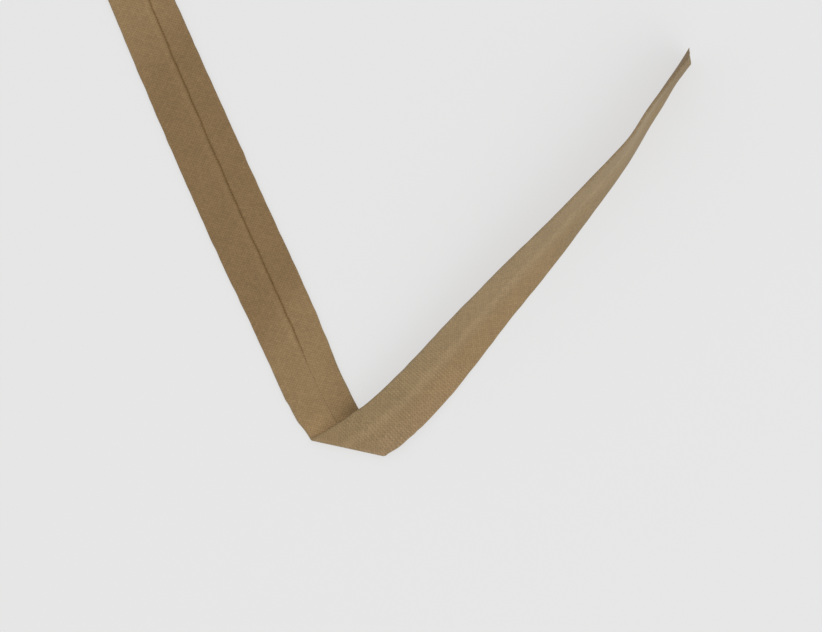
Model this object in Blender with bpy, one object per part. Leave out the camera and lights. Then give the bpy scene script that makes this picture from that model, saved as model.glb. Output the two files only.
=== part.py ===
"""A length of single-fold bias binding: one strip of plain-weave cloth with both long edges folded in to nearly meet.

It lies on a table at z = 0. The first run lies flat with its folded-in edges upwards. A slanting fold turns the strip over, and the second run rises from that fold with its plain outer face up, then leans over further and further until it stands on its lower long edge at the cut end.

Sizes in the tables are in millimetres and degrees, and the mesh is in metres. The strip is worked out as a flat strip first: `s` runs along its middle line and is 0 at the slanting fold, `b` runs across it from the left edge (negative) to the right edge (positive), and `n` runs through its thickness, positive on the side of the folded-in edges.
"""

import math

import bmesh
import bpy
import numpy as np

# ---------------------------------------------------------------- driving sizes, mm
MM = 0.001
CLOTH = 0.40  # one layer of the cloth
LAYER_SPACE = 0.20  # between the plain face's layer and an edge folded in over it
MEETING_SPACE = 0.50  # between the two folded-in edges where they nearly meet
FOLD_SPACE = 0.15  # from the first run's upper face to the axis of the slanting fold
THICK = 2 * CLOTH + LAYER_SPACE  # the pressed strip

FOLD_LINE = {"left": (-20.4, -24.1), "right": (-5.2, -27.4)}  # ends of its outer line
FOLD_OPEN = 9.0  # how far the fold has sprung open, degrees
FOLD_GIVE = 0.82  # the cloth past the fold draws in this much, square to the fold
FOLD_WIDTH = 11.8  # the strip's width where it is folded
FOLD_TUCK = 0.65  # how much the left edge draws in round the fold
BEND_REACH = 2.4  # how far the bend along the second run's middle reaches each way

LEFT_END = -112.0  # the first run's cut end, as s
# The middle of the part's box, so that the origin is under it.
ORIGIN = (-4.6, 25.7)

# The first run, from its cut end to the fold: the middle line, the strip's width, and
# the share of the width that the left folded-in edge covers.
FIRST_RUN = (
    # x, y, width, left_share
    (-58.6, 76.2, 11.9, 0.615),
    (-51.1, 58.1, 12.15, 0.611),
    (-46.1, 46.5, 12.4, 0.602),
    (-41.0, 34.9, 12.65, 0.593),
    (-35.8, 23.2, 12.75, 0.584),
    (-30.5, 11.6, 12.85, 0.580),
    (-25.0, -0.2, 12.6, 0.566),
    (-19.8, -12.0, 12.1, 0.566),
    (-17.4, -17.0, 11.75, 0.566),
)

# The second run, from the fold to its cut end: the middle line, how far the strip's
# face leans up from level, how far its lower edge is off the table, and how far the
# section is bent along its middle, so that its upper half leans further and its lower
# half less. The fold cuts off the lower edge of the first two rows, which only lead in
# the curve.
SECOND_RUN = (
    # x, y, lean, lift, bow
    (-12.6, -25.9, 9.0, 0.4, 0.0),
    (-9.6, -23.7, 12.0, 0.8, 3.0),
    (-6.5, -21.5, 18.0, 1.0, 10.0),
    (-3.7, -19.0, 24.5, 1.1, 13.0),
    (-0.65, -16.15, 28.0, 0.9, 12.5),
    (4.3, -10.9, 32.2, 0.5, 11.5),
    (9.8, -4.5, 38.0, 0.2, 9.5),
    (15.2, 1.7, 45.6, 0.0, 7.4),
    (20.6, 7.7, 50.9, 0.0, 6.3),
    (27.0, 14.7, 58.7, 0.0, 4.8),
    (34.2, 23.0, 67.1, 0.0, 3.4),
    (40.4, 30.4, 74.3, 0.0, 2.6),
    (42.6, 33.6, 77.5, 0.0, 4.2),
    (44.9, 37.8, 78.8, 0.0, 7.0),
    (47.5, 42.0, 80.3, 0.0, 9.3),
    (50.1, 45.9, 83.5, 0.0, 10.0),
    (52.0, 48.7, 84.3, 0.0, 12.2),
    (53.7, 51.4, 83.5, 0.0, 16.0),
)

# The second run's cut end is not quite straight: how far its corners fall short of it.
SHORT_CORNERS = {"left": 2.2, "right": 1.2}

# The second run's width along s.
SECOND_WIDTH = (
    # s, width
    (4.0, 11.8),
    (12.0, 12.2),
    (103.0, 12.2),
)

CLOTH_COLOUR = (0.265, 0.182, 0.096, 1.0)  # khaki tan
CLOTH_ROUGHNESS = 0.92


# ---------------------------------------------------------------- curves
def columns(table):
    return np.array(table, float).T


def spline(knots, values):
    """A natural cubic spline through the rows of values, as a function of the knots' parameter that gives (value, slope)."""
    k, v = np.asarray(knots, float), np.asarray(values, float)
    n, h = len(k), np.diff(k)
    system, right = np.eye(n), np.zeros_like(v)
    for i in range(1, n - 1):
        system[i, i - 1 : i + 2] = h[i - 1], 2 * (h[i - 1] + h[i]), h[i]
        right[i] = 6 * ((v[i + 1] - v[i]) / h[i] - (v[i] - v[i - 1]) / h[i - 1])
    bend = np.linalg.solve(system, right)

    def at(x):
        x = np.asarray(x, float)
        i = np.clip(np.searchsorted(k, x) - 1, 0, n - 2)
        w = h[i][..., None]
        p, q = (k[i + 1] - x)[..., None], (x - k[i])[..., None]
        rise = (v[i + 1] - v[i]) / w
        value = (
            (p**3 * bend[i] + q**3 * bend[i + 1]) / (6 * w)
            + (v[i] / w - w * bend[i] / 6) * p
            + (v[i + 1] / w - w * bend[i + 1] / 6) * q
        )
        slope = (
            (q**2 * bend[i + 1] - p**2 * bend[i]) / (2 * w)
            + rise
            - w * (bend[i + 1] - bend[i]) / 6
        )
        return value, slope

    return at


def lengths(points):
    """How far along the line through the points each of them is."""
    steps = np.linalg.norm(np.diff(points, axis=0), axis=1)
    return np.concatenate([[0.0], np.cumsum(steps)])


def unit(v):
    return v / np.linalg.norm(v, axis=-1, keepdims=True)


def ease(x):
    """From 0 to 1, level at both ends."""
    x = np.clip(x, 0.0, 1.0)
    return x * x * (3 - 2 * x)


# ---------------------------------------------------------------- the slanting fold
FOLD_LEFT, FOLD_RIGHT = (np.array(FOLD_LINE[side]) for side in ("left", "right"))
FOLD_MIDDLE = (FOLD_LEFT + FOLD_RIGHT) / 2
FOLD_ALONG = unit(FOLD_RIGHT - FOLD_LEFT)
FOLD_OUT = np.array([FOLD_ALONG[1], -FOLD_ALONG[0]])  # away from both runs
SLANT = math.asin(FOLD_WIDTH / float(np.linalg.norm(FOLD_RIGHT - FOLD_LEFT)))
TURN = math.pi - math.radians(FOLD_OPEN)
FOLD_RADIUS = THICK / 2 + FOLD_SPACE  # of the middle of the strip's thickness
FOLD_ARC = FOLD_RADIUS * TURN


def past_fold(s, b):
    """How far a place on the flat strip is past the start of the fold, square to it."""
    return math.sin(SLANT) * s - math.cos(SLANT) * b + FOLD_ARC / 2


def on_fold(s, b, n):
    """The strip bent about the slanting fold: flat before it, a round bend, and a flat slope after it, drawn in as cloth on the bias is."""
    t = past_fold(s, b)
    along = math.cos(SLANT) * s + math.sin(SLANT) * b
    angle = np.clip(t / FOLD_RADIUS, 0.0, TURN)
    before, after = np.minimum(t, 0.0), np.maximum(t - FOLD_ARC, 0.0)
    reach = FOLD_RADIUS - n
    out = (
        before
        + reach * np.sin(angle)
        + after * math.cos(TURN) * FOLD_GIVE
        - (FOLD_RADIUS + THICK / 2)
    )
    up = (
        THICK / 2
        + FOLD_RADIUS
        - reach * np.cos(angle)
        + after * math.sin(TURN)
    )
    flat = (
        FOLD_MIDDLE
        + along[..., None] * FOLD_ALONG
        + out[..., None] * FOLD_OUT
    )
    return np.concatenate([flat, up[..., None]], axis=-1)


# ---------------------------------------------------------------- the first run
def first_run():
    x, y, width, share = columns(FIRST_RUN)
    line = np.stack([np.append(x, FOLD_MIDDLE[0]), np.append(y, FOLD_MIDDLE[1])], 1)
    s = lengths(line)
    s -= s[-1]
    return s, line, width, share


FIRST_S, FIRST_LINE, FIRST_WIDTHS, FIRST_SHARES = first_run()
FIRST_CURVE = spline(FIRST_S, FIRST_LINE)


def on_first(s, b, n):
    """The strip lying flat on the table."""
    middle, slope = FIRST_CURVE(s)
    way = unit(slope)
    across = np.stack([-way[..., 1], way[..., 0]], axis=-1)
    flat = middle + b[..., None] * across
    up = THICK / 2 + n
    return np.concatenate([flat, up[..., None]], axis=-1)


# ---------------------------------------------------------------- the second run
def bent_across(b, bow):
    """The section bent along its middle: each place's turn, and how far it is across and towards the outer face. The bend is round for BEND_REACH either way and straight past it."""
    g = np.maximum(bow, 1e-6) / BEND_REACH
    x = np.clip(b, -BEND_REACH, BEND_REACH)
    turn, rest = g * x, b - x
    across = np.sin(turn) / g + rest * np.cos(turn)
    outwards = (1 - np.cos(turn)) / g + rest * np.sin(turn)
    return turn, across, outwards


def foot_drop(lean, bow, width):
    """How far the foot of a leaning, bent section is below the middle of it."""
    _, across, outwards = bent_across(width / 2 - THICK / 2, np.radians(bow))
    return across * np.sin(lean) - outwards * np.cos(lean)


def second_run():
    x, y, lean, lift, bow = columns(SECOND_RUN)
    width = columns(SECOND_WIDTH)[1][-1]
    z = lift + THICK / 2 + foot_drop(np.radians(lean), bow, width)
    s = lengths(np.stack([x, y, z], 1))
    return s, np.stack([x, y, z, np.radians(lean), np.radians(bow)], 1)


SECOND_S, SECOND_ROWS = second_run()
SECOND_CURVE = spline(SECOND_S, SECOND_ROWS)
RIGHT_END = float(SECOND_S[-1])


def width_at(s):
    knots, widths = columns(SECOND_WIDTH)
    return np.where(
        s < 0,
        np.interp(s, FIRST_S, np.append(FIRST_WIDTHS, FOLD_WIDTH)),
        np.interp(s, knots, widths),
    )


def share_at(s):
    return np.interp(s, FIRST_S[:-1], FIRST_SHARES)


def on_second(s, b, n):
    """The strip leaning up from the table, bent along its middle by its bow."""
    row, slope = SECOND_CURVE(s)
    middle, lean, bow = row[..., :3], row[..., 3:4], row[..., 4:5]
    way = unit(slope[..., :3])
    level = unit(np.stack([-way[..., 1], way[..., 0], 0 * way[..., 0]], axis=-1))
    rise = np.cross(way, level)
    over = np.cos(lean) * level + np.sin(lean) * rise  # towards the left edge
    inner = -np.cross(way, over)  # the side of the folded-in edges
    turn, across, outwards = bent_across(b[..., None], bow)
    normal = np.cos(turn) * inner - np.sin(turn) * over
    return middle - across * over - outwards * inner + n[..., None] * normal


# ---------------------------------------------------------------- the whole strip
def on_strip(s, b, n):
    """Where a place of the flat strip is, in mm, with the runs eased into the fold."""
    place = on_fold(s, b, n)
    first = (1 - ease((s + 20) / 12))[..., None]
    place = first * on_first(np.minimum(s, 0), b, n) + (1 - first) * place
    second = (ease((s - 3) / 6) * ease((past_fold(s, b) - FOLD_ARC) / 2.4))[..., None]
    return second * on_second(np.maximum(s, 0), b, n) + (1 - second) * place


def bend_of_cloth(side, steps):
    """The middle of the cloth's layer round one long edge of the strip, as (b from the edge's centre, n)."""
    radius = (CLOTH + LAYER_SPACE) / 2
    angles = np.linspace(math.pi / 2, 3 * math.pi / 2, steps + 1)
    return [(side * -radius * math.cos(a), radius * math.sin(a)) for a in angles]


def section(s, base_steps=8, wide_steps=4, narrow_steps=3, edge_steps=4):
    """The closed outline across the strip at s, as (b, n): the base layer, both round edges and both folded-in edges."""
    width, share = float(width_at(s)), float(share_at(s))
    half = width / 2 - THICK / 2
    level = (CLOTH + LAYER_SPACE) / 2
    meet = width * (share - 0.5)
    left_end, right_end = meet - MEETING_SPACE / 2, meet + MEETING_SPACE / 2
    middle = [(b, level) for b in np.linspace(left_end, -half, wide_steps + 1)[:-1]]
    middle += [(-half + b, n) for b, n in bend_of_cloth(-1, edge_steps)]
    middle += [(b, -level) for b in np.linspace(-half, half, base_steps + 1)[1:-1]]
    middle += [(half + b, n) for b, n in bend_of_cloth(1, edge_steps)[::-1]]
    middle += [(b, level) for b in np.linspace(half, right_end, narrow_steps + 1)[1:]]
    middle = np.array(middle)
    ahead = np.gradient(middle, axis=0)
    ahead /= np.linalg.norm(ahead, axis=1, keepdims=True)
    side = np.stack([-ahead[:, 1], ahead[:, 0]], 1) * CLOTH / 2
    for i in (0, -1):
        side[i] = (0.0, side[i][1] / abs(side[i][1]) * CLOTH / 2)
    return np.concatenate([middle + side, (middle - side)[::-1]])


def stations():
    """Places along the strip and how far each line across it is slanted, closest at the fold."""
    bend = FOLD_ARC / math.sin(SLANT) / 2
    stretches = (
        # from, to, steps
        (LEFT_END, -40.0, 14),
        (-40.0, -12.0, 10),
        (-12.0, -bend, 10),
        (-bend, bend, 9),
        (bend, 12.0, 10),
        (12.0, 40.0, 16),
        (40.0, RIGHT_END, 26),
    )
    s = [np.linspace(a, b, n + 1)[:-1] for a, b, n in stretches] + [[RIGHT_END]]
    s = np.concatenate(s)
    slant = (1 - ease((np.abs(s) - 2) / 14)) / math.tan(SLANT)
    return s, slant


def tucked_in(s, b):
    """How far a place near the left edge draws in round the slanting fold."""
    near_fold = ease((s + 10) / 5.5) * (1 - ease((s - 4) / 14))
    return FOLD_TUCK * near_fold * np.clip(-2 * b / width_at(s), 0, 1) ** 2


def short_of_end(s, b):
    """How far a place near the second run's cut end is drawn back by its short corners."""
    corner = np.where(b < 0, SHORT_CORNERS["left"], SHORT_CORNERS["right"])
    return corner * np.abs(2 * b / width_at(s)) ** 1.2 * ease((s - RIGHT_END + 4) / 4)


def strip_points():
    """The outline across the strip at every station, in metres."""
    s, slant = stations()
    outlines = np.array([section(x) for x in s])
    b, n = outlines[..., 0], outlines[..., 1]
    along = s[:, None] + slant[:, None] * b - short_of_end(s[:, None], b)
    b = b + tucked_in(along, b)
    points = on_strip(along, b, n)
    points[..., :2] -= ORIGIN
    return points * MM


def loft(shape, outlines):
    """Joins each outline to the next, and closes the two cut ends across the thickness of the cloth."""
    rings = [[shape.verts.new(point) for point in outline] for outline in outlines]
    for low, high in zip(rings, rings[1:]):
        for j, k in zip(range(len(low)), [*range(1, len(low)), 0]):
            shape.faces.new((low[j], high[j], high[k], low[k]))
    for ring in (rings[0], rings[-1]):
        one_side, other_side = ring[: len(ring) // 2], ring[: len(ring) // 2 - 1 : -1]
        for j in range(len(one_side) - 1):
            shape.faces.new(
                (one_side[j], one_side[j + 1], other_side[j + 1], other_side[j])
            )
    bmesh.ops.recalc_face_normals(shape, faces=shape.faces)


def cloth_material():
    material = bpy.data.materials.new("binding_cloth")
    material.use_nodes = True
    shader = material.node_tree.nodes["Principled BSDF"]
    shader.inputs["Base Color"].default_value = CLOTH_COLOUR
    shader.inputs["Roughness"].default_value = CLOTH_ROUGHNESS
    shader.inputs["Metallic"].default_value = 0.0
    return material


def clear_scene():
    for old in list(bpy.data.objects):
        bpy.data.objects.remove(old, do_unlink=True)


def make_binding():
    shape = bmesh.new()
    loft(shape, strip_points())
    mesh = bpy.data.meshes.new("binding")
    shape.to_mesh(mesh)
    shape.free()
    mesh.shade_smooth()
    mesh.set_sharp_from_angle(angle=math.radians(40))
    mesh.materials.append(cloth_material())
    binding = bpy.data.objects.new("binding", mesh)
    bpy.context.scene.collection.objects.link(binding)
    return binding


clear_scene()
make_binding()
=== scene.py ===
"""The looks of a length of single-fold bias binding: the cloth strip, its plain weave, a pale floor, a camera straight above and soft light.

The strip is worked out as in the CAD, as a flat strip that is bent into place: `s` runs along its middle line and is 0 at the slanting fold, `b` runs across it from the left edge (negative) to the right edge (positive), and `n` runs through its thickness, positive on the side of the folded-in edges. Here the cloth has its real thickness, its edges and faces have their small unevenness, and `w` runs across the unfolded cloth, so that the weave carries on round the edges. Sizes in the tables are in millimetres and degrees.
"""

import math

import bpy
import numpy as np
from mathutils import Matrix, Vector


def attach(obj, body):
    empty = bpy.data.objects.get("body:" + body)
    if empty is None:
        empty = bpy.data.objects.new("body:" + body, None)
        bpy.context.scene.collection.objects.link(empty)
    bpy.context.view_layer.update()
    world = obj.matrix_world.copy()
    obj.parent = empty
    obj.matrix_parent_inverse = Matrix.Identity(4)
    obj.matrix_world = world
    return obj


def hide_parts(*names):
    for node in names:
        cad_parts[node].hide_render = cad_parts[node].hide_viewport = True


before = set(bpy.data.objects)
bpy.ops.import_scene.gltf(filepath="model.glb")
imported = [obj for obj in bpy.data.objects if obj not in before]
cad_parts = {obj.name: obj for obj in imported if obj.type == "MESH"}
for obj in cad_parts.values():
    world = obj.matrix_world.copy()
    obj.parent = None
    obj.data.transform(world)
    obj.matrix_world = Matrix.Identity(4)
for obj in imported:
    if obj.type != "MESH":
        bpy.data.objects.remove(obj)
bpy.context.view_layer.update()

# ---------------------------------------------------------------- driving sizes, mm
MM = 0.001
CLOTH = 0.26  # one layer of the cloth
LAYER_SPACE = 0.10  # between the plain face's layer and an edge folded in over it
MEETING_SPACE = 0.04  # between the two folded-in edges where they nearly meet
MEETING_CLOSED = 0.02  # the same near the slanting fold, where they touch
FOLD_SPACE = 0.16  # from the first run's upper face to the axis of the slanting fold
THICK = 2 * CLOTH + LAYER_SPACE  # the pressed strip

FOLD_LINE = {"left": (-20.4, -24.1), "right": (-5.2, -27.4)}  # ends of its outer line
FOLD_OPEN = 9.0  # how far the fold has sprung open, degrees
FOLD_GIVE = 0.82  # the cloth past the fold draws in this much, square to the fold
FOLD_WIDTH = 11.8  # the strip's width where it is folded
FOLD_TUCK = 0.65  # how much the left edge draws in round the fold
BEND_REACH = 2.4  # how far the bend along the second run's middle reaches each way

LEFT_END = -112.0  # the first run's cut end, as s
ORIGIN = (-4.6, 25.7)  # the middle of the part's box

# The first run, from its cut end to the fold: the middle line, the strip's width, and
# the share of the width that the left folded-in edge covers.
FIRST_RUN = (
    # x, y, width, left_share
    (-58.6, 76.2, 11.9, 0.615),
    (-51.1, 58.1, 12.15, 0.611),
    (-46.1, 46.5, 12.4, 0.602),
    (-41.0, 34.9, 12.65, 0.593),
    (-35.8, 23.2, 12.75, 0.584),
    (-30.5, 11.6, 12.85, 0.580),
    (-25.0, -0.2, 12.6, 0.566),
    (-19.8, -12.0, 12.1, 0.566),
    (-17.4, -17.0, 11.75, 0.566),
)

# The second run, from the fold to its cut end: the middle line, how far the strip's
# face leans up from level, how far its lower edge is off the table, and how far the
# section is bent along its middle, so that its upper half leans further and its lower
# half less. The fold cuts off the lower edge of the first two rows, which only lead in
# the curve.
SECOND_RUN = (
    # x, y, lean, lift, bow
    (-12.6, -25.9, 9.0, 0.4, 0.0),
    (-9.6, -23.7, 12.0, 0.8, 3.0),
    (-6.5, -21.5, 18.0, 1.0, 10.0),
    (-3.7, -19.0, 24.5, 1.1, 13.0),
    (-0.65, -16.15, 28.0, 0.9, 12.5),
    (4.3, -10.9, 32.2, 0.5, 11.5),
    (9.8, -4.5, 38.0, 0.2, 9.5),
    (15.2, 1.7, 45.6, 0.0, 7.4),
    (20.6, 7.7, 50.9, 0.0, 6.3),
    (27.0, 14.7, 58.7, 0.0, 4.8),
    (34.2, 23.0, 67.1, 0.0, 3.4),
    (40.4, 30.4, 74.3, 0.0, 2.6),
    (42.6, 33.6, 77.5, 0.0, 4.2),
    (44.9, 37.8, 78.8, 0.0, 7.0),
    (47.5, 42.0, 80.3, 0.0, 9.3),
    (50.1, 45.9, 83.5, 0.0, 10.0),
    (52.0, 48.7, 84.3, 0.0, 12.2),
    (53.85, 51.65, 83.5, 0.0, 16.0),
)

# The second run's cut end is not quite straight: how far its corners fall short of it,
# and how far its plain face does for each mm of the strip's thickness.
SHORT_CORNERS = {"left": 3.0, "right": 0.8}
SHORT_FACE = 1.3

# The second run's width along s.
SECOND_WIDTH = (
    # s, width
    (4.0, 11.8),
    (12.0, 12.2),
    (103.0, 12.2),
)

# The weave: plain, with its threads at about 51 degrees to the strip's length. One
# repeat of the crossings along the strip and across it.
REPEAT_ALONG = 0.59
REPEAT_ACROSS = 0.73


# ---------------------------------------------------------------- curves
def columns(table):
    return np.array(table, float).T


def spline(knots, values):
    """A natural cubic spline through the rows of values, as a function of the knots' parameter that gives (value, slope)."""
    k, v = np.asarray(knots, float), np.asarray(values, float)
    n, h = len(k), np.diff(k)
    system, right = np.eye(n), np.zeros_like(v)
    for i in range(1, n - 1):
        system[i, i - 1 : i + 2] = h[i - 1], 2 * (h[i - 1] + h[i]), h[i]
        right[i] = 6 * ((v[i + 1] - v[i]) / h[i] - (v[i] - v[i - 1]) / h[i - 1])
    bend = np.linalg.solve(system, right)

    def at(x):
        x = np.asarray(x, float)
        i = np.clip(np.searchsorted(k, x) - 1, 0, n - 2)
        w = h[i][..., None]
        p, q = (k[i + 1] - x)[..., None], (x - k[i])[..., None]
        rise = (v[i + 1] - v[i]) / w
        value = (
            (p**3 * bend[i] + q**3 * bend[i + 1]) / (6 * w)
            + (v[i] / w - w * bend[i] / 6) * p
            + (v[i + 1] / w - w * bend[i + 1] / 6) * q
        )
        slope = (
            (q**2 * bend[i + 1] - p**2 * bend[i]) / (2 * w)
            + rise
            - w * (bend[i + 1] - bend[i]) / 6
        )
        return value, slope

    return at


def lengths(points):
    """How far along the line through the points each of them is."""
    steps = np.linalg.norm(np.diff(points, axis=0), axis=1)
    return np.concatenate([[0.0], np.cumsum(steps)])


def unit(v):
    return v / np.linalg.norm(v, axis=-1, keepdims=True)


def ease(x):
    """From 0 to 1, level at both ends."""
    x = np.clip(x, 0.0, 1.0)
    return x * x * (3 - 2 * x)


def wander(x, wavelength, seed):
    """A smooth, uneven line between about -1 and 1, with bends roughly a wavelength apart."""
    total = np.zeros_like(np.asarray(x, float))
    for i, (stretch, size) in enumerate(((1.0, 0.5), (0.617, 0.3), (1.713, 0.35))):
        phase = 2.399 * (seed + 1) * (i + 1) + 0.7 * i
        total = total + size * np.sin(2 * math.pi * x / (wavelength * stretch) + phase)
    return total


# ---------------------------------------------------------------- the slanting fold
FOLD_LEFT, FOLD_RIGHT = (np.array(FOLD_LINE[side]) for side in ("left", "right"))
FOLD_MIDDLE = (FOLD_LEFT + FOLD_RIGHT) / 2
FOLD_ALONG = unit(FOLD_RIGHT - FOLD_LEFT)
FOLD_OUT = np.array([FOLD_ALONG[1], -FOLD_ALONG[0]])  # away from both runs
SLANT = math.asin(FOLD_WIDTH / float(np.linalg.norm(FOLD_RIGHT - FOLD_LEFT)))
TURN = math.pi - math.radians(FOLD_OPEN)
FOLD_RADIUS = THICK / 2 + FOLD_SPACE  # of the middle of the strip's thickness
FOLD_ARC = FOLD_RADIUS * TURN


def past_fold(s, b):
    """How far a place on the flat strip is past the start of the fold, square to it."""
    return math.sin(SLANT) * s - math.cos(SLANT) * b + FOLD_ARC / 2


def on_fold(s, b, n):
    """The strip bent about the slanting fold: flat before it, a round bend, and a flat slope after it, drawn in as cloth on the bias is."""
    t = past_fold(s, b)
    along = math.cos(SLANT) * s + math.sin(SLANT) * b
    angle = np.clip(t / FOLD_RADIUS, 0.0, TURN)
    before, after = np.minimum(t, 0.0), np.maximum(t - FOLD_ARC, 0.0)
    reach = FOLD_RADIUS - n
    out = (
        before
        + reach * np.sin(angle)
        + after * math.cos(TURN) * FOLD_GIVE
        - (FOLD_RADIUS + THICK / 2)
    )
    up = THICK / 2 + FOLD_RADIUS - reach * np.cos(angle) + after * math.sin(TURN)
    flat = FOLD_MIDDLE + along[..., None] * FOLD_ALONG + out[..., None] * FOLD_OUT
    return np.concatenate([flat, up[..., None]], axis=-1)


# ---------------------------------------------------------------- the first run
def first_run():
    x, y, width, share = columns(FIRST_RUN)
    line = np.stack([np.append(x, FOLD_MIDDLE[0]), np.append(y, FOLD_MIDDLE[1])], 1)
    s = lengths(line)
    s -= s[-1]
    return s, line, width, share


FIRST_S, FIRST_LINE, FIRST_WIDTHS, FIRST_SHARES = first_run()
FIRST_CURVE = spline(FIRST_S, FIRST_LINE)


def on_first(s, b, n):
    """The strip lying flat on the table."""
    middle, slope = FIRST_CURVE(s)
    way = unit(slope)
    across = np.stack([-way[..., 1], way[..., 0]], axis=-1)
    flat = middle + b[..., None] * across
    up = THICK / 2 + n
    return np.concatenate([flat, up[..., None]], axis=-1)


# ---------------------------------------------------------------- the second run
def bent_across(b, bow):
    """The section bent along its middle: each place's turn, and how far it is across and towards the outer face. The bend is round for BEND_REACH either way and straight past it."""
    g = np.maximum(bow, 1e-6) / BEND_REACH
    x = np.clip(b, -BEND_REACH, BEND_REACH)
    turn, rest = g * x, b - x
    across = np.sin(turn) / g + rest * np.cos(turn)
    outwards = (1 - np.cos(turn)) / g + rest * np.sin(turn)
    return turn, across, outwards


def foot_drop(lean, bow, width):
    """How far the foot of a leaning, bent section is below the middle of it."""
    _, across, outwards = bent_across(width / 2 - THICK / 2, np.radians(bow))
    return across * np.sin(lean) - outwards * np.cos(lean)


def second_run():
    x, y, lean, lift, bow = columns(SECOND_RUN)
    width = columns(SECOND_WIDTH)[1][-1]
    z = lift + THICK / 2 + foot_drop(np.radians(lean), bow, width)
    s = lengths(np.stack([x, y, z], 1))
    return s, np.stack([x, y, z, np.radians(lean), np.radians(bow)], 1)


SECOND_S, SECOND_ROWS = second_run()
SECOND_CURVE = spline(SECOND_S, SECOND_ROWS)
RIGHT_END = float(SECOND_S[-1])


def width_at(s):
    knots, widths = columns(SECOND_WIDTH)
    return np.where(
        s < 0,
        np.interp(s, FIRST_S, np.append(FIRST_WIDTHS, FOLD_WIDTH)),
        np.interp(s, knots, widths),
    )


def share_at(s):
    return np.interp(s, FIRST_S[:-1], FIRST_SHARES)


def on_second(s, b, n):
    """The strip leaning up from the table, bent along its middle by its bow."""
    row, slope = SECOND_CURVE(s)
    middle, lean, bow = row[..., :3], row[..., 3:4], row[..., 4:5]
    way = unit(slope[..., :3])
    level = unit(np.stack([-way[..., 1], way[..., 0], 0 * way[..., 0]], axis=-1))
    rise = np.cross(way, level)
    over = np.cos(lean) * level + np.sin(lean) * rise  # towards the left edge
    inner = -np.cross(way, over)  # the side of the folded-in edges
    turn, across, outwards = bent_across(b[..., None], bow)
    normal = np.cos(turn) * inner - np.sin(turn) * over
    return middle - across * over - outwards * inner + n[..., None] * normal


def on_strip(s, b, n):
    """Where a place of the flat strip is, in mm, with the runs eased into the fold."""
    place = on_fold(s, b, n)
    first = (1 - ease((s + 20) / 12))[..., None]
    place = first * on_first(np.minimum(s, 0), b, n) + (1 - first) * place
    second = (ease((s - 3) / 6) * ease((past_fold(s, b) - FOLD_ARC) / 2.4))[..., None]
    return second * on_second(np.maximum(s, 0), b, n) + (1 - second) * place


# ---------------------------------------------------------------- the section across
BASE_STEPS, WIDE_STEPS, NARROW_STEPS, EDGE_STEPS = 26, 14, 12, 8


def bend_of_cloth(side, steps):
    """The middle of the cloth's layer round one long edge of the strip, as (b from the edge's centre, n)."""
    radius = (CLOTH + LAYER_SPACE) / 2
    angles = np.linspace(math.pi / 2, 3 * math.pi / 2, steps + 1)
    return [(side * -radius * math.cos(a), radius * math.sin(a)) for a in angles]


def closer_at_end(start, end, steps):
    """Places from start to end that come closer together towards the end, where the cloth is cut."""
    t = np.linspace(0, 1, steps + 1)
    return start + (end - start) * (1.55 * t - 0.55 * t**2)


def section(s):
    """The middle of the cloth's layer across the strip at s: rows of (b, n), with the share of the way that the row is lifted as part of the left and right folded-in edges and of the plain face."""
    width, share = float(width_at(s)), float(share_at(s))
    half = width / 2 - THICK / 2
    level = (CLOTH + LAYER_SPACE) / 2
    meet = width * (share - 0.5)
    line = meet + 0.03 * wander(s, 1.3, 3) + 0.06 * wander(s, 9.0, 4)
    closed = float(ease((s + 25) / 8) * (1 - ease((s - 10) / 8)))
    gap = MEETING_SPACE + (MEETING_CLOSED - MEETING_SPACE) * closed
    gap = gap * (1 + 0.35 * wander(s, 2.1, 5))
    left_end, right_end = line - gap / 2, line + gap / 2
    wide = closer_at_end(-half, left_end, WIDE_STEPS)[:0:-1]
    narrow = closer_at_end(half, right_end, NARROW_STEPS)[1:]
    rows = [(b, level) for b in wide]
    rows += [(-half + b, n) for b, n in bend_of_cloth(-1, EDGE_STEPS)]
    rows += [(b, -level) for b in np.linspace(-half, half, BASE_STEPS + 1)[1:-1]]
    rows += [(half + b, n) for b, n in bend_of_cloth(1, EDGE_STEPS)[::-1]]
    rows += [(b, level) for b in narrow]
    rows = np.array(rows)
    rows[:, 1] += relief(s, rows[:, 0], meet, half)
    return rows


def relief(s, b, meet, half):
    """The unevenness of the pressed cloth, as n: the folded-in edges spring up a little where they meet, and where the strip is off the table its plain face shows the ridge of the two cut edges under it."""
    row = np.arange(len(b))
    left, right = row < WIDE_STEPS, row >= len(b) - NARROW_STEPS
    plain = (row > WIDE_STEPS + EDGE_STEPS // 2) & (
        row < WIDE_STEPS + EDGE_STEPS + BASE_STEPS - EDGE_STEPS // 2 + 4
    )
    spring_left = 0.07 + 0.05 * wander(s, 14.0, 1)
    spring_right = 0.035 + 0.035 * wander(s, 17.0, 2)
    rise = left * spring_left * ease((b - meet + 2.6) / 2.6)
    rise = rise + right * spring_right * ease((meet + 2.2 - b) / 2.2)
    loose = float(ease((s - 6) / 10))
    ridge = 0.06 * np.exp(-(((b - meet) / 0.75) ** 2))
    dome = 0.10 * (1 - np.clip(b / half, -1, 1) ** 2)
    return rise - loose * plain * ridge - loose * dome


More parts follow.
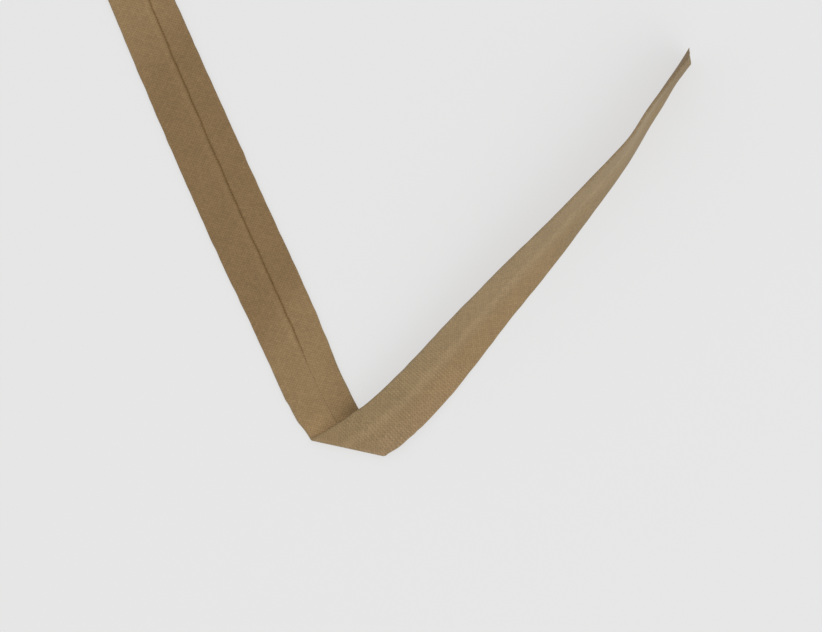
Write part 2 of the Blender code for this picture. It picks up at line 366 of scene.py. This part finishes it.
def outline(s):
    """The closed outline across the strip at s, as (b, n, w, from_cut): the outer face of the cloth, then its inner face the other way. The last is how far along the cloth its nearest cut edge is."""
    middle = section(s)
    ahead = np.gradient(middle, axis=0)
    ahead /= np.linalg.norm(ahead, axis=1, keepdims=True)
    side = np.stack([-ahead[:, 1], ahead[:, 0]], 1) * CLOTH / 2
    for i in (0, -1):
        side[i] = (0.0, side[i][1] / abs(side[i][1]) * CLOTH / 2)
    centre = WIDE_STEPS + EDGE_STEPS + BASE_STEPS // 2
    w = lengths(middle)
    w -= w[centre] - middle[centre, 0]
    from_cut = np.minimum(w - w[0], w[-1] - w)
    outer = np.column_stack([middle + side, w, from_cut])
    inner = np.column_stack([middle - side, w, from_cut])
    return np.concatenate([outer, inner[::-1]])


def stations():
    """Places along the strip and how far each line across it is slanted, closest at the fold."""
    bend = FOLD_ARC / math.sin(SLANT) / 2
    stretches = (
        # from, to, step
        (LEFT_END, LEFT_END + 1.2, 0.12),
        (LEFT_END + 1.2, -12.0, 0.48),
        (-12.0, -bend, 0.40),
        (-bend, bend, 0.14),
        (bend, 12.0, 0.40),
        (12.0, RIGHT_END - 1.2, 0.48),
        (RIGHT_END - 1.2, RIGHT_END, 0.12),
    )
    s = [
        np.linspace(a, b, max(2, round((b - a) / step)) + 1)[:-1]
        for a, b, step in stretches
    ]
    s = np.concatenate(s + [[RIGHT_END]])
    slant = (1 - ease((np.abs(s) - 2) / 14)) / math.tan(SLANT)
    return s, slant


def tucked_in(s, b):
    """How far a place near the left edge draws in round the slanting fold."""
    near_fold = ease((s + 10) / 5.5) * (1 - ease((s - 4) / 14))
    return FOLD_TUCK * near_fold * np.clip(-2 * b / width_at(s), 0, 1) ** 2


def short_of_end(s, b, n):
    """How far a place near the second run's cut end is drawn back by its short corners and its short plain face."""
    corner = np.where(b < 0, SHORT_CORNERS["left"], SHORT_CORNERS["right"])
    short = corner * np.abs(2 * b / width_at(s)) ** 1.2 + SHORT_FACE * (THICK / 2 - n)
    return short * ease((s - RIGHT_END + 8) / 8)


# ---------------------------------------------------------------- the mesh
ROWS_ON_MAP = 3  # the bake's map holds the outer face as this many rows


def strip_shape():
    """The strip's points in metres, and each one's (s, w, b / width, from_cut)."""
    s, slant = stations()
    outlines = np.array([outline(x) for x in s])
    b, n, w, from_cut = np.moveaxis(outlines, 2, 0)
    width = width_at(s)[:, None]
    # The long edges wander a little, as pressed folds do.
    b = b * (1 + 0.006 * wander(s, 7.0, 7)[:, None]) + 0.035 * wander(s, 5.0, 8)[:, None]
    along = s[:, None] + slant[:, None] * b - short_of_end(s[:, None], b, n)
    b = b + tucked_in(along, b)
    # The two cut ends are a little uneven.
    for end, seed in ((0, 9), (-1, 10)):
        for back in range(4):
            i = end - back if end else back
            along[i] += (1 - back / 4) * 0.05 * wander(w[i], 0.55, seed)
    points = on_strip(along, b, n)
    points[..., :2] -= ORIGIN
    return points * MM, np.stack([along, w, b / width, from_cut], axis=-1)


def map_place(s, w, face_s, inner):
    """Where a place of the cloth goes on the bake's map: the outer face in rows that fill it, and the hidden inner face in a narrow band at its top."""
    stretch = (RIGHT_END - LEFT_END) / ROWS_ON_MAP
    row = np.clip(np.floor((face_s - LEFT_END) / stretch), 0, ROWS_ON_MAP - 1)
    x = (s - LEFT_END - row * stretch) / stretch
    band = 0.965 / ROWS_ON_MAP
    y = band * (row + 0.5 + w / 27.0)
    x = 0.012 + 0.976 * x
    y = 0.004 + y
    inner_x = 0.01 + 0.98 * (s - LEFT_END) / (RIGHT_END - LEFT_END)
    inner_y = 0.984 + 0.012 * w / 27.0
    return np.where(inner, inner_x, x), np.where(inner, inner_y, y)


def make_cloth():
    points, coords = strip_shape()
    rings, around = points.shape[:2]
    half = around // 2
    index = np.arange(rings * around).reshape(rings, around)
    faces, kinds = [], []
    for i in range(rings - 1):
        for j in range(around):
            k = (j + 1) % around
            faces.append((index[i, j], index[i, k], index[i + 1, k], index[i + 1, j]))
            kinds.append("inner" if half <= j < around - 1 else "outer")
    for ring, flip in ((0, True), (rings - 1, False)):
        for j in range(half - 1):
            far = around - 1 - j
            quad = (index[ring, j], index[ring, j + 1], index[ring, far - 1], index[ring, far])
            faces.append(quad[::-1] if flip else quad)
            kinds.append("cut")
    mesh = bpy.data.meshes.new("binding_cloth")
    mesh.from_pydata(points.reshape(-1, 3).tolist(), [], [tuple(map(int, f)) for f in faces])
    mesh.validate()
    mesh.update()

    flat = coords.reshape(-1, 4)
    corner = np.array(faces)
    ring_of, place_of = corner // around, corner % around
    s, w, share, from_cut = (flat[corner][..., i].copy() for i in range(4))
    inside = place_of >= half  # on the cloth's inner face
    kind = np.array(kinds)
    # Across a cut edge the coordinates go on by the cloth's thickness.
    edge = (kind == "outer") & inside.any(1)
    outwards = np.where(w > 0, 1.0, -1.0)
    w[edge] += (outwards * inside * CLOTH)[edge]
    cut = kind == "cut"
    end = np.where(ring_of == 0, -1.0, 1.0)
    s[cut] += (end * inside * CLOTH)[cut]
    inner = np.repeat((kind == "inner")[:, None], 4, 1)
    face_s = np.repeat(s.mean(1)[:, None], 4, 1)
    x, y = map_place(s, w, face_s, inner)

    layers = {
        "cloth": (s, w),
        "across": (share, from_cut),
        "OFBake": (x, y),
    }
    for name, (a, b) in layers.items():
        layer = mesh.uv_layers.new(name=name)
        layer.uv.foreach_set("vector", np.stack([a, b], -1).astype(np.float32).ravel())
    mesh.uv_layers.active = mesh.uv_layers["cloth"]
    mesh.shade_smooth()
    mesh.set_sharp_from_angle(angle=math.radians(50))
    cloth = bpy.data.objects.new("binding_cloth", mesh)
    bpy.context.scene.collection.objects.link(cloth)
    return cloth


# ---------------------------------------------------------------- materials
class Nodes:
    """Short ways to add shader nodes to a material."""

    def __init__(self, material):
        material.use_nodes = True
        self.tree = material.node_tree
        self.shader = self.tree.nodes["Principled BSDF"]

    def add(self, kind, **settings):
        node = self.tree.nodes.new(kind)
        for name, value in settings.items():
            setattr(node, name, value)
        return node

    def wire(self, socket, value):
        if isinstance(value, bpy.types.NodeSocket):
            self.tree.links.new(socket, value)
        else:
            socket.default_value = value

    def math(self, operation, a, b=None, c=None, clamp=False):
        node = self.add("ShaderNodeMath", operation=operation, use_clamp=clamp)
        for socket, value in zip(node.inputs, (a, b, c)):
            if value is not None:
                self.wire(socket, value)
        return node.outputs[0]

    def uv(self, name):
        split = self.add("ShaderNodeSeparateXYZ")
        self.wire(split.inputs[0], self.add("ShaderNodeUVMap", uv_map=name).outputs[0])
        return split.outputs[0], split.outputs[1]

    def place(self, x, y, z=0.0):
        joined = self.add("ShaderNodeCombineXYZ")
        for socket, value in zip(joined.inputs, (x, y, z)):
            self.wire(socket, value)
        return joined.outputs[0]

    def noise(self, where, scale, detail=2.0, roughness=0.5, distortion=0.0):
        node = self.add("ShaderNodeTexNoise")
        self.wire(node.inputs["Vector"], where)
        node.inputs["Scale"].default_value = scale
        node.inputs["Detail"].default_value = detail
        node.inputs["Roughness"].default_value = roughness
        node.inputs["Distortion"].default_value = distortion
        return node.outputs["Fac"]

    def spread(self, value, low, high, to_low, to_high, smooth=False):
        node = self.add("ShaderNodeMapRange")
        if smooth:
            node.interpolation_type = "SMOOTHSTEP"
        for socket, x in zip(node.inputs, (value, low, high, to_low, to_high)):
            self.wire(socket, x)
        return node.outputs[0]

    def blend(self, share, a, b):
        node = self.add("ShaderNodeMix", data_type="RGBA")
        self.wire(node.inputs[0], share)
        self.wire(node.inputs[6], a)
        self.wire(node.inputs[7], b)
        return node.outputs[2]

    def tinted(self, colour, shares, by):
        """The colour times the shares, as far as the number says."""
        node = self.add("ShaderNodeMix", data_type="VECTOR")
        self.wire(node.inputs[0], by)
        self.wire(node.inputs[4], colour)
        product = self.add("ShaderNodeVectorMath", operation="MULTIPLY")
        self.wire(product.inputs[0], colour)
        self.wire(product.inputs[1], shares)
        self.wire(node.inputs[5], product.outputs[0])
        return node.outputs[1]

    def scaled(self, colour, by):
        """The colour times a number, as a vector product."""
        node = self.add("ShaderNodeVectorMath", operation="SCALE")
        self.wire(node.inputs[0], colour)
        self.wire(node.inputs["Scale"], by)
        return node.outputs[0]


SHADE_BETWEEN_THREADS = (0.234, 0.155, 0.076, 1.0)  # painted shade in the gaps between the threads
WARP = (0.300, 0.204, 0.104, 1.0)
WEFT = (0.288, 0.198, 0.103, 1.0)
WORN = (0.325, 0.232, 0.134, 1.0)  # along the pressed edges
# Tints, each as a share of the colour.
PRESSED_LINE_HIGHLIGHT = (1.11, 1.125, 1.15)  # painted highlight: the shine of the line pressed into the plain face
WARM = (1.02, 0.985, 0.93)  # the plain face on the right of that line
TURNED_IN = (1.03, 0.985, 0.92)  # the folded-in edges
MEETING_GAP_SHADE = (0.80, 0.74, 0.62)  # painted shade in the gap beside the cut edges where they meet
MID_RUN_SHADE = (0.80, 0.775, 0.745)  # painted shade on the middle of the first run
LOWER_START_LIGHT = (1.08, 1.075, 1.12)  # painted light on the lower half of the second run beside the fold
UPPER_START_SHADE = (0.96, 0.97, 0.955)  # painted shade on its upper half
UPPER_EDGE_SHEEN = (0.98, 1.02, 1.10)  # painted reflection: the second run's upper edge, bluer where its bend catches light from the pale surroundings
LOWER_EDGE = (0.92, 0.94, 0.97)  # towards its lower edge, where it has turned up
INSIDE_END_SHADE = (0.74, 0.60, 0.42)  # painted shade on the inner side of the second run's cut end
OUTSIDE_END = (0.84, 0.84, 0.86)  # the outer side of it


def cloth_material():
    """Cotton in a plain weave on the bias: threads that pass over and under, uneven yarns, a soft nap and pressed,
    slightly worn edges, with painted shade and painted highlights where the light on the strip changes, and darker
    towards the second run's cut end.
    """
    material = bpy.data.materials.new("cotton_plain_weave")
    n = Nodes(material)
    s, w = n.uv("cloth")
    across, from_cut = n.uv("across")
    flat = n.place(s, w)

    # Threads drift a little from straight.
    drift_s = n.math("MULTIPLY_ADD", n.noise(flat, 0.55, 2.0), 0.34, -0.17)
    drift_w = n.math(
        "MULTIPLY_ADD", n.noise(n.place(w, s, 7.0), 0.50, 2.0), 0.34, -0.17
    )
    u = n.math("DIVIDE", n.math("ADD", s, drift_s), REPEAT_ALONG)
    v = n.math("DIVIDE", n.math("ADD", w, drift_w), REPEAT_ACROSS)
    p, q = n.math("ADD", u, v), n.math("SUBTRACT", u, v)
    warp_number, weft_number = n.math("FLOOR", p), n.math("FLOOR", q)
    parity = n.math("FLOORED_MODULO", n.math("ADD", warp_number, weft_number), 2.0)
    over = n.math("MULTIPLY_ADD", parity, -2.0, 1.0)  # 1 where the warp is on top

    def yarn(number, offset):
        """How light or thick each thread is."""
        node = n.add("ShaderNodeTexWhiteNoise", noise_dimensions="1D")
        n.wire(node.inputs["W"], n.math("MULTIPLY_ADD", number, 1.37, offset))
        return node.outputs["Value"]

    def crown(x, number):
        """The height of a round thread over its own width."""
        off = n.math("SUBTRACT", n.math("SUBTRACT", x, number), 0.5)
        return n.math("COSINE", n.math("MULTIPLY", off, math.pi))

    warp_yarn, weft_yarn = yarn(warp_number, 0.31), yarn(weft_number, 40.77)
    warp_crown, weft_crown = crown(p, warp_number), crown(q, weft_number)
    warp_height = n.math(
        "ADD",
        n.math("MULTIPLY", warp_crown, 0.5),
        n.math("MULTIPLY", n.math("MULTIPLY", over, weft_crown), 0.42),
    )
    weft_height = n.math(
        "SUBTRACT",
        n.math("MULTIPLY", weft_crown, 0.5),
        n.math("MULTIPLY", n.math("MULTIPLY", over, warp_crown), 0.42),
    )
    weave = n.math("SMOOTH_MAX", warp_height, weft_height, 0.12)
    warp_on_top = n.spread(
        n.math("SUBTRACT", warp_height, weft_height), -0.12, 0.12, 0.0, 1.0
    )

    # Fibres lie along each thread.
    warp_fibres = n.noise(
        n.place(n.math("MULTIPLY", p, 5.0), n.math("MULTIPLY", q, 0.9), 3.0), 1.0, 3.0
    )
    weft_fibres = n.noise(
        n.place(n.math("MULTIPLY", p, 0.9), n.math("MULTIPLY", q, 5.0), 9.0), 1.0, 3.0
    )
    fibres = n.add("ShaderNodeMix", data_type="FLOAT")
    n.wire(fibres.inputs[0], warp_on_top)
    n.wire(fibres.inputs[2], weft_fibres)
    n.wire(fibres.inputs[3], warp_fibres)
    fibres = fibres.outputs[0]
    yarns = n.add("ShaderNodeMix", data_type="FLOAT")
    n.wire(yarns.inputs[0], warp_on_top)
    n.wire(yarns.inputs[2], weft_yarn)
    n.wire(yarns.inputs[3], warp_yarn)
    yarns = yarns.outputs[0]

    # Colour: threads over painted shade in the gaps, then yarn by yarn, crossing by crossing and patch by patch.
    thread = n.blend(warp_on_top, WEFT, WARP)
    worn = n.spread(n.math("ABSOLUTE", across), 0.470, 0.497, 0.0, 0.30, True)
    thread = n.blend(worn, thread, WORN)
    colour = n.blend(n.spread(weave, 0.10, 0.70, 0.0, 1.0, True), SHADE_BETWEEN_THREADS, thread)
    crossing = n.add("ShaderNodeTexWhiteNoise", noise_dimensions="2D")
    n.wire(crossing.inputs["Vector"], n.place(warp_number, weft_number))
    patches = n.noise(flat, 0.16, 3.0)
    specks = n.noise(flat, 1.3, 4.0, 0.6)
    light = n.math("MULTIPLY_ADD", yarns, 0.09, 0.955)
    light = n.math(
        "MULTIPLY", light, n.math("MULTIPLY_ADD", crossing.outputs["Value"], 0.10, 0.95)
    )
    light = n.math("MULTIPLY", light, n.spread(patches, 0.3, 0.7, 0.965, 1.035))
    light = n.math("MULTIPLY", light, n.spread(specks, 0.25, 0.75, 0.91, 1.09))
    light = n.math("MULTIPLY", light, n.spread(fibres, 0.25, 0.75, 0.93, 1.07))

    # Ribs across the strip show most where it was pulled round the fold.
    rib = n.math("COSINE", n.math("MULTIPLY", u, 2 * math.pi))
    pulled = n.math(
        "MULTIPLY",
        n.spread(s, -4.0, 3.0, 0.0, 1.0, True),
        n.spread(s, 22.0, 34.0, 1.0, 0.0, True),
    )
    rib_depth = n.math("MULTIPLY_ADD", pulled, 0.075, 0.02)
    light = n.math("MULTIPLY", light, n.math("MULTIPLY_ADD", rib, rib_depth, 1.0))

    # Painted shade: the middle of the first run is a little darker, up to nearer the fold on its left.
    askew = n.math("MULTIPLY_ADD", across, 9.0, s)
    middle = n.math(
        "MULTIPLY",
        n.spread(askew, -100.0, -78.0, 0.0, 1.0, True),
        n.spread(askew, -35.0, -21.0, 1.0, 0.0, True),
    )

    # Beside the cut edges where they meet on the first run: soft painted shade in the gap between them, then a lighter
    # line, a painted highlight, where the left one is raised, and both end before the slanting fold.
    meeting = n.spread(s, -25.0, -16.0, 1.0, 0.0, True)
    meeting_gap_shade = n.math("MULTIPLY", n.spread(from_cut, 0.12, 0.36, 1.0, 0.0, True), meeting)
    # Painted highlight where the left folded-in edge springs up and catches the light.
    lifted = n.math(
        "MULTIPLY",
        n.spread(n.math("ABSOLUTE", n.math("SUBTRACT", from_cut, 0.95)), 0.1, 0.7, 1.0, 0.0, True),
        n.math("MULTIPLY", meeting, n.math("LESS_THAN", w, 0.0)),
    )
    light = n.math("MULTIPLY", light, n.math("MULTIPLY_ADD", lifted, 0.06, 1.0))

    # The plain face: a pressed line a little left of its middle, made lighter as a painted highlight, and warmer right
    # of it.
    from_line = n.math("ABSOLUTE", n.math("ADD", w, 0.5))
    pressed = n.spread(from_line, 0.2, 1.5, 1.0, 0.0, True)
    warm = n.math(
        "MULTIPLY",
        n.spread(w, 0.2, 2.2, 0.0, 1.0, True),
        n.spread(w, 5.6, 6.4, 1.0, 0.0, True),
    )
    warm = n.math("MULTIPLY", warm, n.spread(s, 6.0, 24.0, 0.0, 1.0, True))
    turned_in = n.spread(n.math("ABSOLUTE", w), 6.1, 6.5, 0.0, 1.0, True)
    # Painted light: the folded-in edges are paler beside the slanting fold, most of all on the left, and paler still at
    # the crease, to lift the shade under the fold's upper layer.
    from_fold = n.math("MULTIPLY_ADD", across, 1.2, s)
    painted_light_beside_fold = n.math(
        "MULTIPLY",
        n.spread(from_fold, -9.5, -6.0, 0.0, 1.0, True),
        n.spread(across, -0.35, 0.25, 1.0, 0.0, True),
    )
    painted_light_at_crease = n.math(
        "MULTIPLY",
        n.spread(from_fold, -5.9, -4.9, 0.0, 1.0, True),
        n.math(
            "MULTIPLY",
            n.spread(across, -0.42, -0.25, 0.0, 1.0, True),
            n.spread(across, 0.05, 0.45, 1.0, 0.0, True),
        ),
    )
    # How far the painted light beside the fold and at the crease lightens the colour.
    pale = n.math(
        "ADD", n.math("MULTIPLY", painted_light_beside_fold, 0.22), n.math("MULTIPLY", painted_light_at_crease, 0.4)
    )
    pale = n.math("MULTIPLY", pale, n.math("MULTIPLY", turned_in, n.spread(s, 0.0, 3.0, 1.0, 0.0, True)))
    light = n.math("MULTIPLY", light, n.math("ADD", pale, 1.0))

    # Painted light and painted shade: the second run just past the fold is paler in its lower half and darker in its
    # upper one.
    start = n.math(
        "MULTIPLY", n.spread(s, -3.0, 1.0, 0.0, 1.0, True), n.spread(s, 18.0, 34.0, 1.0, 0.0, True)
    )
    start = n.math("MULTIPLY", start, n.math("SUBTRACT", 1.0, turned_in))
    lower_start_light = n.math("MULTIPLY", start, n.spread(w, 1.0, 3.5, 0.0, 1.0, True))
    upper_start_shade = n.math("MULTIPLY", start, n.spread(w, -1.5, 1.0, 1.0, 0.0, True))
    # Painted reflection of the pale surroundings along the second run's upper edge.
    upper_edge_sheen = n.math(
        "MULTIPLY",
        n.spread(across, -0.488, -0.455, 1.0, 0.0, True),
        n.spread(s, 4.0, 16.0, 0.0, 1.0, True),
    )
    lower_edge = n.math(
        "MULTIPLY",
        n.spread(across, 0.12, 0.32, 0.0, 1.0, True),
        n.math(
            "MULTIPLY",
            n.spread(s, 48.0, 62.0, 0.0, 1.0, True),
            n.spread(s, 80.0, 92.0, 1.0, 0.0, True),
        ),
    )
    # Painted shade on the folded-in side towards the second run's cut end, most of all towards its upper edge.
    inside_end_shade = n.math("MULTIPLY", turned_in, n.spread(s, 76.0, 98.0, 0.0, 1.0, True))
    inside_end_shade = n.math("MULTIPLY", inside_end_shade, n.spread(across, -0.3, 0.1, 1.0, 0.3, True))
    outside_end = n.spread(s, 86.0, 98.0, 0.0, 1.0, True)

    colour = n.scaled(colour, light)
    for tint, by in (
        (PRESSED_LINE_HIGHLIGHT, pressed),
        (WARM, warm),
        (TURNED_IN, turned_in),
        (MEETING_GAP_SHADE, meeting_gap_shade),
        (LOWER_START_LIGHT, lower_start_light),
        (UPPER_START_SHADE, upper_start_shade),
        (UPPER_EDGE_SHEEN, upper_edge_sheen),
        (LOWER_EDGE, lower_edge),
        (MID_RUN_SHADE, middle),
        (INSIDE_END_SHADE, inside_end_shade),
        (OUTSIDE_END, outside_end),
    ):
        colour = n.tinted(colour, tint, by)
    n.wire(n.shader.inputs["Base Color"], colour)

    rough = n.spread(weave, 0.0, 1.0, 0.96, 0.84)
    rough = n.math("ADD", rough, n.spread(fibres, 0.2, 0.8, -0.04, 0.04), clamp=True)
    n.wire(n.shader.inputs["Roughness"], rough)

    height = n.math("MULTIPLY_ADD", fibres, 0.16, weave)
    height = n.math("MULTIPLY_ADD", yarns, 0.12, height)
    bump = n.add("ShaderNodeBump")
    bump.inputs["Strength"].default_value = 0.6
    bump.inputs["Distance"].default_value = 0.07 * MM
    n.wire(bump.inputs["Height"], height)
    n.wire(n.shader.inputs["Normal"], bump.outputs["Normal"])

    n.shader.inputs["Metallic"].default_value = 0.0
    n.shader.inputs["Specular IOR Level"].default_value = 0.22
    n.shader.inputs["Sheen Weight"].default_value = 0.14
    n.shader.inputs["Sheen Roughness"].default_value = 0.55
    n.shader.inputs["Sheen Tint"].default_value = (0.85, 1.0, 0.88, 1.0)
    return material


def floor_material():
    material = bpy.data.materials.new("pale_floor")
    n = Nodes(material)
    where = n.add("ShaderNodeTexCoord").outputs["Object"]
    shade = n.spread(n.noise(where, 9.0, 2.0), 0.2, 0.8, 0.995, 1.005)
    n.wire(n.shader.inputs["Base Color"], n.scaled((0.22, 0.22, 0.22), shade))
    # A light table: part of its paleness is its own light, so shadows on it are faint.
    n.shader.inputs["Emission Color"].default_value = (1.0, 1.0, 1.0, 1.0)
    n.shader.inputs["Emission Strength"].default_value = 0.5735
    n.wire(
        n.shader.inputs["Roughness"], n.spread(n.noise(where, 40.0), 0.2, 0.8, 0.8, 0.9)
    )
    n.shader.inputs["Specular IOR Level"].default_value = 0.15
    return material


# ---------------------------------------------------------------- stage, light, camera
def make_floor():
    size, steps = 3.0, 6
    line = np.linspace(-size / 2, size / 2, steps + 1)
    points = [(x, y, -0.00002) for y in line for x in line]
    faces = [
        (k, k + 1, k + steps + 2, k + steps + 1)
        for j in range(steps)
        for k in range(j * (steps + 1), j * (steps + 1) + steps)
    ]
    mesh = bpy.data.meshes.new("floor")
    mesh.from_pydata(points, [], faces)
    mesh.materials.append(floor_material())
    floor = bpy.data.objects.new("floor", mesh)
    bpy.context.scene.collection.objects.link(floor)


def make_light(name, place, size, power, colour=(1.0, 1.0, 1.0)):
    lamp = bpy.data.lights.new(name, "AREA")
    lamp.shape, lamp.size, lamp.energy, lamp.color = "DISK", size, power, colour
    light = bpy.data.objects.new(name, lamp)
    light.location = place
    aim = Vector((0.0, 0.0, 0.0)) - Vector(place)
    light.rotation_euler = aim.to_track_quat("-Z", "Y").to_euler()
    bpy.context.scene.collection.objects.link(light)


def make_world(strength):
    world = bpy.data.worlds.new("studio")
    world.use_nodes = True
    back = world.node_tree.nodes["Background"]
    back.inputs["Color"].default_value = (1.0, 1.0, 1.0, 1.0)
    back.inputs["Strength"].default_value = strength
    bpy.context.scene.world = world


def make_camera():
    data = bpy.data.cameras.new("camera")
    data.sensor_width = 36.0
    data.lens = 88.53
    data.clip_start = 0.01
    camera = bpy.data.objects.new("camera", data)
    # Straight above, over the point that the sizes in the tables are measured from.
    camera.location = (-ORIGIN[0] * MM, -ORIGIN[1] * MM, 0.395)
    camera.rotation_euler = (0.0, 0.0, 0.0)
    bpy.context.scene.collection.objects.link(camera)
    bpy.context.scene.camera = camera


make_camera()
make_floor()
make_world(0.85)
make_light("key", (0.55, -0.50, 0.75), 1.00, 2.3)
bpy.context.scene.view_settings.view_transform = "Standard"

cloth = make_cloth()
cloth.data.materials.append(cloth_material())
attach(cloth, "root")
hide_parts("binding")
